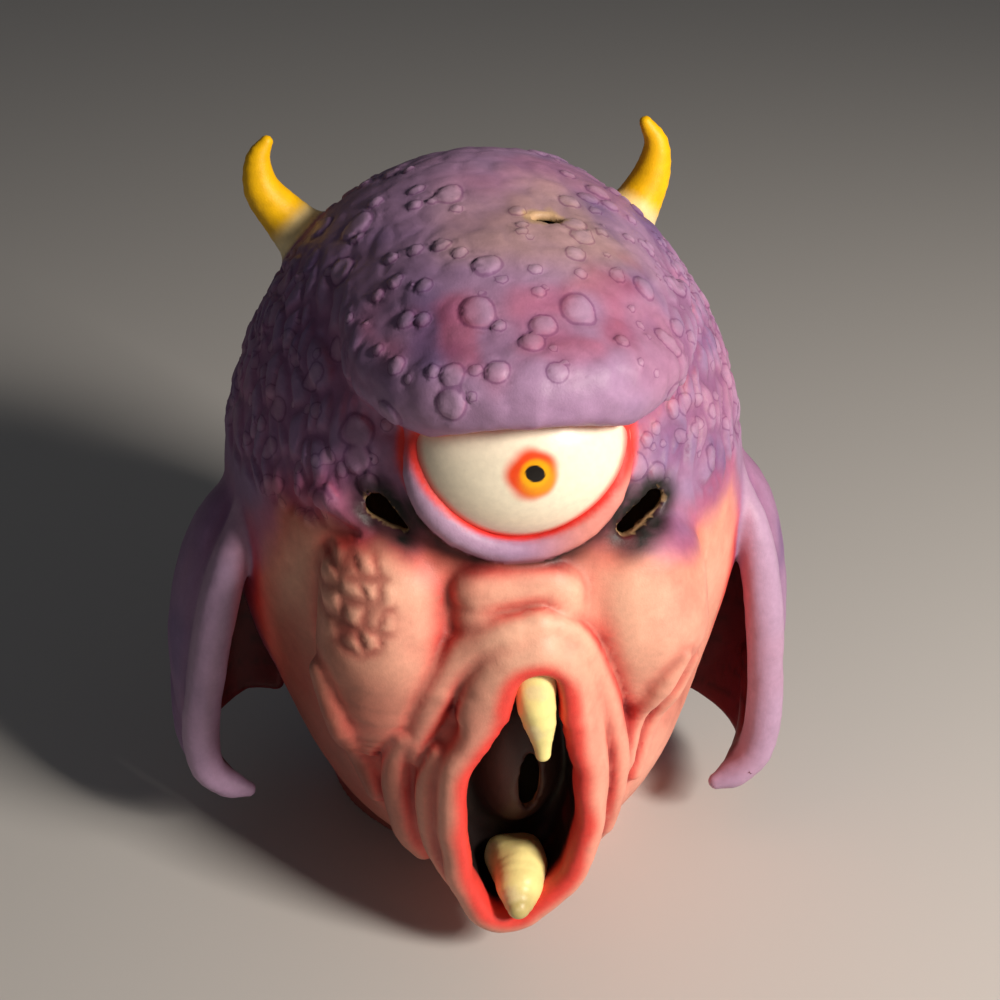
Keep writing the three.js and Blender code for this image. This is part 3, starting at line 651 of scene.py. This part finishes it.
def skull_share(points):
    """Where the upper skull's warty skin lies, from 0 to 1: clear of the eye, its lid and the horns."""
    x, _, z = points.T
    off_eye = smooth(0.5, 4, eyeball.distance(points)) * smooth(-0.5, 3, lid.distance(points))
    on_skull = smooth(188, 205, z) * off_eye
    on_horn = smooth(7, 2, np.minimum(*[horn.distance(points) for horn in horns]))
    on_side = smooth(180, 188, z) * smooth(62, 75, np.abs(x))
    return np.maximum(on_skull, on_side) * (1 - on_horn)


def temple_share(points):
    """Where the long wrinkles of the temples run, from 0 to 1."""
    x, y, z = points.T
    return smooth(46, 64, np.abs(x)) * smooth(272, 245, z) * smooth(60, 20, y)


def temple_seams(points):
    """How far points lie from the seams between the wrinkles."""
    return seams(leaning(points), WRINKLES["cell"], 41)


def relief_at(points):
    """How far the skin stands out of the smooth clay, in millimetres."""
    on_skull = skull_share(points)
    temple = on_skull * temple_share(points)
    total = 0.6 * mottle(points, 26, 3) + 0.12 * clouds(points, 4, 9)
    total += 0.5 * on_skull * mottle(points, 11, 5)
    for gap, (_, height) in zip(wart_gaps(points), warts):
        total += wart_relief(gap, height) * on_skull * (1 - 0.6 * temple)
    total += temple * WRINKLES["height"] * (smooth(0, 0.4, temple_seams(points)) - 0.5)
    total += on_skull * (1 - temple) * 0.35 * (smooth(0, 0.3, seams(points, 13, 51)) - 0.5)
    share, seam = cobbled(points)
    total += share * COBBLES["height"] * (smooth(0, 0.75, seam) - 0.6)
    return total * smooth(2, 6, np.minimum(*[horn.distance(points) for horn in horns]))


def build_skin():
    """The hollow skin, with its relief laid on the outside only."""
    values = sampled(skin_at, SKIN_LOW, SKIN_HIGH, CELL)
    points, quads = netted(values, SKIN_LOW, CELL)
    points = settled(skin_at, points, CELL)
    outside, slope = slope_at(lambda places: clay_at(WHOLE, places), points)
    normals = slope / np.maximum(span(slope), 1e-6)[:, None]
    on_outside = smooth(-1.0, -0.3, outside) * smooth(1, 6, points[:, 2])
    points += normals * (relief_at(points) * on_outside)[:, None]
    piece = mesh_piece("mask_skin", points, quads)
    return thinned(piece, SKIN_TRIANGLES)


def colour(code):
    """A paint colour from its sRGB code, as the linear values that Blender mixes."""
    parts = np.array([int(code[i:i + 2], 16) for i in (1, 3, 5)]) / 255
    return np.where(parts < 0.04045, parts / 12.92, ((parts + 0.055) / 1.055) ** 2.4)


PAINT = {name: colour(code) for name, code in dict(
    purple="#a581a3", indigo="#6b5583", mauve="#ab7490", lavender="#c4a4bd", magenta="#b0485f",
    tan="#c39c8b", peach="#eeb498", salmon="#e58f7d", red="#e63c34", brown="#8a5a4a",
    maroon="#6e1b20", black="#17120f", pocket="#1c1110", wall="#4a3029", cream="#ecd9a8",
    yellow="#f7bd00", raw="#cda878", ivory="#f8ecd2", orange="#f29a12", flame="#ea4a1c",
    tooth="#f5e596", tip_brown="#8d7440", shade_brown="#84392b").items()}


def mixed(base, paint, share):
    """Base paint with a share of another over it."""
    return base + (PAINT[paint] - base) * np.clip(share, 0, 1)[:, None]


def skull_paint(points, hollow, gap):
    """Dusty purple with clouds of indigo and mauve and pink in the hollows; painted shade in indigo on the
    left side, in the finest creases and in the temple wrinkles; a painted highlight in lavender on the wart
    tops.
    """
    base = np.tile(PAINT["purple"], (len(points), 1))
    base = mixed(base, "indigo", smooth(0.0, 0.6, mottle(points, 34, 71)) * 0.75)
    # Painted shade: indigo deepens towards the left side of the skull
    base = mixed(base, "indigo", smooth(-20, -80, points[:, 0]) * 0.55)
    base = mixed(base, "mauve", smooth(0.0, 0.6, mottle(points, 42, 81)) * 0.7)
    trough = smooth(16, 2, brow_trough.distance(points) + 6 * clouds(points, 14, 91))
    base = mixed(base, "magenta", trough * 0.5 * smooth(-0.4, 0.5, clouds(points, 11, 93)))
    tan = smooth(48, 12, span(points - CROWN_TEAR["at"]) + 14 * clouds(points, 20, 95))
    base = mixed(base, "tan", tan * 0.6)
    base = mixed(base, "magenta", hollow[2] * 1.1 * (points[:, 2] < 275))
    # Painted shade: indigo in the finest creases
    base = mixed(base, "indigo", hollow[0] * 0.8)
    creased = skull_share(points) * temple_share(points) * smooth(0.3, 0.05, temple_seams(points))
    base = mixed(base, "magenta", creased * 0.3)
    # Painted shade: indigo in the seams between the temple wrinkles
    base = mixed(base, "indigo", creased * 0.35)
    # Painted highlight: the wart tops are paler, in lavender
    return mixed(base, "lavender", smooth(1.0, 0.6, gap) * 0.25)


def face_paint(points, hollow):
    """Peach skin with brown mottling, airbrushed red in its creases; painted shade as maroon in the narrowest
    creases, brown in the seams between the cheek's cobbles, and brown, brownish red and maroon deepening
    towards the lower left.
    """
    base = np.tile(PAINT["peach"], (len(points), 1))
    base = mixed(base, "salmon", smooth(-0.2, 0.6, mottle(points, 30, 101)) * 0.4)
    base = mixed(base, "salmon", smooth(165, 110, points[:, 2]) * 0.55)
    # Brown mottling that is also painted shade, growing stronger towards the left side
    mottled_brown_and_left_shade = smooth(0.1, 0.6, mottle(points, 16, 111)) * smooth(40, -50, points[:, 0])
    base = mixed(base, "brown", mottled_brown_and_left_shade * 0.35)
    # Painted shade: brownish red over the lower left of the face
    below = smooth(-30, -68, points[:, 0]) * smooth(175, 120, points[:, 2])
    base = mixed(base, "shade_brown", below * 0.75)
    share, seam = cobbled(points)
    # Painted shade: brown in the seams between the cobbles
    base = mixed(base, "brown", share * smooth(0.3, 0.05, seam) * 0.25)
    # Painted shade: maroon over the lower left of the jaw
    base = mixed(base, "maroon", smooth(-15, -60, points[:, 0]) * smooth(125, 60, points[:, 2]) * 0.4)
    base = mixed(base, "salmon", hollow[2] * 1.6)
    base = mixed(base, "red", hollow[2] * 0.6)
    base = mixed(base, "red", hollow[1] * 1.2)
    # Painted shade: maroon in the narrowest creases
    return mixed(base, "maroon", hollow[0] * 1.4)


def paint_ears(base, skull, points):
    """Skull paint outside, lavender on the rolled edge that is partly a painted highlight, and maroon in the
    hollow with dark bands of painted shade for its ridges.
    """
    x, _, z = points.T
    for name, side in SIDES.items():
        cup, rim, foot = [form.distance(points) for form in ear_forms[name]]
        ear = smooth(3.0, 1.8, np.minimum(np.minimum(cup, rim), foot)) * smooth(84, 92, x * side)
        base = base + (skull - base) * ear[:, None]
        # Lavender on the rolled edge, partly a painted highlight along the rim
        base = mixed(base, "lavender", ear * smooth(2.5, 0.6, rim) * 0.5)
        within = ear * smooth(1.5, -0.5, ear_bowls[name].distance(points)) * smooth(0.8, 2.5, rim)
        base = mixed(base, "maroon", within)
        # Painted shade: dark bands across the hollow stand for the shade of its ridges
        base = mixed(base, "black", within * smooth(0.75, 1, np.sin(z * 2 * np.pi / 11)) * 0.45)
    return base


def paint_eye_surround(base, points):
    """A purple lid that turns pink, black airbrush under it and round the slots, a red eye rim."""
    x, _, z = points.T
    from_lid = lid.distance(points)
    from_eye = eyeball.distance(points)
    on_lid = smooth(1.6, 0.4, from_lid)
    base = mixed(base, "purple", on_lid)
    base = mixed(base, "lavender", on_lid * smooth(10, -30, x) * 0.5)
    base = mixed(base, "salmon", on_lid * smooth(-5, 25, x) * 0.9)
    reach = 5 + 10 * smooth(6, 24, np.abs(x + 2))
    soot = smooth(1, 0.1, from_lid / reach) * smooth(208, 198, z) * (1 - on_lid) * smooth(0, 3, from_eye)
    for slot in slots:
        soot = np.maximum(soot, smooth(10, 2, slot.distance(points)) * smooth(4, 7, from_eye))
    base = mixed(base, "black", soot * (0.95 + 0.3 * mottle(points, 9, 131)))
    return mixed(base, "red", smooth(4, 1.4, from_eye) * (z < 240))


def paint_mouth(base, points):
    """Red lips, a black mouth pocket and a dark brown palate."""
    y = points[:, 1]
    from_mouth = mouth_at(points)
    front = smooth(-88, -100, y)
    lip = smooth(10, 4, from_mouth + 2 * clouds(points, 12, 141)) * front
    base = mixed(base, "red", lip * 0.95)
    behind_lips = smooth(LIP["front"] + 5, LIP["front"] + 13, y) * smooth(-70, -80, y)
    in_mouth = smooth(3.4, 2.0, from_mouth) * behind_lips
    base = mixed(base, "pocket", in_mouth)
    return mixed(base, "wall", in_mouth * smooth(2, -1, palate.distance(points)))


def paint_horns(base, points):
    """Yellow horns on cream feet."""
    for horn, line in zip(horns, (HORN_LEFT, HORN_RIGHT)):
        on_horn = smooth(2.5, 1, horn.distance(points))
        along = span(points - line[0][:3])
        base = mixed(base, "cream", on_horn * smooth(8, 12, along))
        base = mixed(base, "yellow", on_horn * smooth(12, 17, along))
    return base


def paint_bare_latex(base, points):
    """Unpainted latex on the inside, on the slots' cut edges and round the tear."""
    torn = smooth(3.5, 1.5, tear.distance(points) + 1.5 * clouds(points, 4, 165))
    base = mixed(base, "raw", torn * 0.8)
    depth = clay_at(WHOLE, points)
    at_slot = np.minimum(*[slot.distance(points) for slot in slots])
    cut_edge = smooth(-0.7, -1.3, depth) * smooth(1.2, 0.5, at_slot)
    return mixed(base, "raw", np.maximum(smooth(-1.8, -2.4, depth), cut_edge))


def paint_skin(points, normals):
    """The skin's colours, and half the gap from each point to its nearest wart."""
    x, y, z = points.T
    hollow = [1 - np.clip(skin_at(points + normals * reach) / reach, 0, 1) for reach in (2.5, 6, 14)]
    gap = np.min(wart_gaps(points), axis=0)
    gap = np.where(skull_share(points) > 0.5, gap, 2)
    skull = skull_paint(points, hollow, gap)
    face = face_paint(points, hollow)
    purple_ends = 187 - 13 * smooth(30, 70, x)
    edge = np.minimum((purple_ends - z) / 11, (-62 + (purple_ends - z) * 0.35 - y) / 14)
    edge += 0.6 * mottle(points, 18, 121)
    base = skull + (face - skull) * smooth(-0.5, 0.5, edge)[:, None]
    base = mixed(base, "red", smooth(1.6, 0.2, np.abs(edge)) * 0.3)
    base = paint_ears(base, skull, points)
    base = paint_eye_surround(base, points)
    base = paint_mouth(base, points)
    base = paint_horns(base, points)
    base = paint_bare_latex(base, points)
    speckle = 1 + 0.07 * clouds(points, 2.5, 151) + 0.05 * clouds(points, 6, 161)
    return base * speckle[:, None], gap / 2


def painted(piece, colours, gap=1.0):
    """Stores a colour for each point, and half the gap to its nearest wart, for the material."""
    layer = piece.data.color_attributes.new("paint", "FLOAT_COLOR", "POINT")
    rgba = np.column_stack([np.clip(colours, 0, 1), np.full(len(colours), gap)]).astype(np.float32)
    layer.data.foreach_set("color", rgba.ravel())


def ranged(nodes, links, value, source, target):
    """A value carried softly from one range to another."""
    node = nodes.new("ShaderNodeMapRange")
    node.interpolation_type = "SMOOTHSTEP"
    for socket, number in zip(("From Min", "From Max", "To Min", "To Max"), (*source, *target)):
        node.inputs[socket].default_value = number
    links.new(value, node.inputs["Value"])
    return node.outputs["Result"]


# Half the gap to a wart at which its soft dark ring, a painted shade in the crease round the wart, begins and
# ends, and the ring's shade tint
RING_STARTS = (0.47, 0.52)
RING_ENDS = (0.62, 0.55)
RING_SHADE_TINT = (0.72, 0.62, 0.72, 1)


def material(name, roughness, grain, grain_size):
    """Painted surface: the paint's own colour with fine mottling, a soft ring of painted shade round each
    wart, and a fine bumpy grain.
    """
    made = bpy.data.materials.new(name)
    made.use_nodes = True
    nodes, links = made.node_tree.nodes, made.node_tree.links
    shader = nodes["Principled BSDF"]
    paint = nodes.new("ShaderNodeVertexColor")
    paint.layer_name = "paint"
    place = nodes.new("ShaderNodeTexCoord")
    speckle = nodes.new("ShaderNodeTexNoise")
    speckle.inputs["Scale"].default_value = 1 / (grain_size * 3)
    speckle.inputs["Detail"].default_value = 6
    links.new(place.outputs["Object"], speckle.inputs["Vector"])
    tone = nodes.new("ShaderNodeMapRange")
    tone.inputs["To Min"].default_value = 0.86
    tone.inputs["To Max"].default_value = 1.12
    links.new(speckle.outputs["Fac"], tone.inputs["Value"])
    shaded = nodes.new("ShaderNodeVectorMath")
    shaded.operation = "SCALE"
    links.new(paint.outputs["Color"], shaded.inputs[0])
    links.new(tone.outputs["Result"], shaded.inputs["Scale"])
    # Painted shade: a soft dark ring round each wart, from half the wart gap held in the paint's alpha
    outer = ranged(nodes, links, paint.outputs["Alpha"], RING_ENDS, (0, 1))
    ring = ranged(nodes, links, paint.outputs["Alpha"], RING_STARTS, (0, 1))
    dark = nodes.new("ShaderNodeMath")
    dark.operation = "MULTIPLY"
    links.new(outer, dark.inputs[0])
    links.new(ring, dark.inputs[1])
    ring_shaded = nodes.new("ShaderNodeMix")
    ring_shaded.data_type = "RGBA"
    ring_shaded.blend_type = "MULTIPLY"
    ring_shaded.inputs["B"].default_value = RING_SHADE_TINT
    links.new(dark.outputs["Value"], ring_shaded.inputs["Factor"])
    links.new(shaded.outputs["Vector"], ring_shaded.inputs["A"])
    links.new(ring_shaded.outputs["Result"], shader.inputs["Base Color"])
    pores = nodes.new("ShaderNodeTexNoise")
    pores.inputs["Scale"].default_value = 1 / grain_size
    pores.inputs["Detail"].default_value = 4
    links.new(place.outputs["Object"], pores.inputs["Vector"])
    bump = nodes.new("ShaderNodeBump")
    bump.inputs["Distance"].default_value = grain
    bump.inputs["Strength"].default_value = 0.4
    links.new(pores.outputs["Fac"], bump.inputs["Height"])
    links.new(bump.outputs["Normal"], shader.inputs["Normal"])
    shader.inputs["Roughness"].default_value = roughness
    shader.inputs["Specular IOR Level"].default_value = 0.35
    return made


def own(piece, surface):
    """The piece rides with the mask, stands for its solid and takes the given surface as its only material.
    """
    piece.data.materials.clear()
    piece.data.materials.append(surface)
    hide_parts("mask")
    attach(piece, "root")


def build_eye():
    """The eyeball, with its rings drawn round the way it looks, so that iris and pupil are sharp."""
    gaze = np.array(GAZE) / np.linalg.norm(GAZE)
    aside = np.cross(gaze, (0, 0, 1))
    aside /= np.linalg.norm(aside)
    above = np.cross(aside, gaze)
    tilt = np.concatenate([np.linspace(0, 0.6, 50), np.linspace(0.6, np.pi, 50)[1:]])[1:-1]
    around = np.linspace(0, 2 * np.pi, 160, endpoint=False)
    ring = np.cos(around)[:, None] * aside + np.sin(around)[:, None] * above
    ball = [gaze[None]] + [np.cos(t) * gaze + np.sin(t) * ring for t in tilt] + [-gaze[None]]
    ball = np.concatenate(ball)
    points = ball * EYE_SEEN + EYEBALL["at"]
    faces = []
    turns, last = len(around), len(ball) - 1
    for i in range(turns):
        j = (i + 1) % turns
        faces.append([0, 1 + i, 1 + j])
        for row in range(len(tilt) - 1):
            a, b = 1 + row * turns, 1 + (row + 1) * turns
            faces += [[a + i, b + i, b + j], [a + i, b + j, a + j]]
        faces.append([1 + (len(tilt) - 1) * turns + i, last, 1 + (len(tilt) - 1) * turns + j])
    piece = mesh_piece("great_eye", points, np.array(faces))
    spot = points - points[0]
    across, up = spot @ aside, spot @ above
    base = np.tile(PAINT["ivory"], (len(points), 1))
    iris = np.hypot(across - 1, up + 0.5) + 0.8 * clouds(points, 5, 171)
    base = mixed(base, "flame", smooth(11.2, 6.8, iris))
    base = mixed(base, "orange", smooth(9, 3.5, np.hypot(across + 1.5, up + 2.5)) * smooth(11, 8, iris))
    base = mixed(base, "yellow", smooth(6, 4.2, np.hypot(across, up)) * 0.6)
    lean = 0.5
    long = across * np.cos(lean) + up * np.sin(lean)
    short = up * np.cos(lean) - across * np.sin(lean)
    base = mixed(base, "black", smooth(1.06, 0.94, np.hypot(long / 3.6, short / 3.0)))
    rim = smooth(4.5, 0, lid.distance(points))
    base = mixed(base, "red", rim * 0.8)
    painted(piece, base)
    return piece


def build_tooth(name, line, cut_at, tip_brown):
    """A lumpy tooth on a line of [x, y, z, radius] points, made browner towards its tip by so much."""
    form = limb(line)
    low, high = form.middle - form.reach - 3, form.middle + form.reach + 3

    def lumpy(points):
        lumps = TOOTH_LUMPS * clouds(points, 8, 181)
        past_cut = points @ TOOTH_CUT - cut_at - lumps
        return soft_max(form.distance(points) - lumps, past_cut, SOFT["tooth_edges"])

    points, quads = netted(sampled(lumpy, low, high, TOOTH_CELL), low, TOOTH_CELL)
    points = settled(lumpy, points, TOOTH_CELL)
    piece = mesh_piece(name, points, quads)
    base = np.tile(PAINT["tooth"], (len(points), 1))
    # Browner towards the tip, by the given share
    base = mixed(base, "tip_brown", smooth(11, 3, span(points - line[-1][:3])) * tip_brown)
    base = mixed(base, "cream", smooth(0.1, 0.6, mottle(points, 8, 191)) * 0.6)
    painted(piece, base)
    return piece


skin = build_skin()
painted(skin, *paint_skin(*sculpt_points(skin)))
own(skin, material("painted_latex", 0.5, 0.00025, 0.0007))
own(build_eye(), material("painted_eye", 0.35, 0.00008, 0.0009))
tooth_paint = material("painted_teeth", 0.4, 0.0002, 0.0012)
own(build_tooth("upper_tooth", UPPER_TOOTH, UPPER_TOOTH_CUT_AT, 0), tooth_paint)
own(build_tooth("lower_tooth", LOWER_TOOTH, LOWER_TOOTH_CUT_AT, 0.6), tooth_paint)


def studio():
    """A plain pale floor, a soft key light from the upper right, and a weak wide fill."""
    bpy.ops.mesh.primitive_plane_add(size=FLOOR["size"], location=(0, 0, cad_box[0].z))
    floor = bpy.context.active_object
    floor.name = "floor"
    surface = bpy.data.materials.new("floor")
    surface.use_nodes = True
    surface.node_tree.nodes["Principled BSDF"].inputs["Base Color"].default_value = FLOOR["colour"]
    floor.data.materials.append(surface)
    world = bpy.data.worlds.new("studio")
    bpy.context.scene.world = world
    world.use_nodes = True
    sky = world.node_tree.nodes["Background"]
    sky.inputs["Color"].default_value = SKY["colour"]
    sky.inputs["Strength"].default_value = SKY["strength"]
    for lamp in LAMPS:
        light = bpy.data.lights.new(lamp["name"], "AREA")
        light.size = lamp["size"]
        light.energy = lamp["power"]
        light.color = LAMP_COLOUR
        holder = bpy.data.objects.new(lamp["name"], light)
        bpy.context.scene.collection.objects.link(holder)
        holder.location = lamp["place"]
        aim = Vector(LAMP_TARGET) - holder.location
        holder.rotation_euler = aim.to_track_quat("-Z", "Y").to_euler()


def camera():
    """The camera, shifted sideways so that its target lies where the picture has it."""
    lens = bpy.data.cameras.new("camera")
    lens.lens = CAMERA["lens"]
    lens.sensor_width = CAMERA["sensor"]
    eye = bpy.data.objects.new("camera", lens)
    bpy.context.scene.collection.objects.link(eye)
    turn, lift = np.radians(CAMERA["azimuth"]), np.radians(CAMERA["elevation"])
    back = Vector((np.sin(turn) * np.cos(lift), -np.cos(turn) * np.cos(lift), np.sin(lift)))
    target = Vector(placed(CAMERA["target"]))
    eye.location = target + back * CAMERA["distance"]
    eye.rotation_euler = (-back).to_track_quat("-Z", "Y").to_euler()
    lens.shift_x = (IMAGE_SIDE / 2 - CAMERA["target_px"][0]) / IMAGE_SIDE
    lens.shift_y = (CAMERA["target_px"][1] - IMAGE_SIDE / 2) / IMAGE_SIDE
    bpy.context.scene.camera = eye


studio()
camera()
bpy.context.scene.view_settings.view_transform = "Standard"
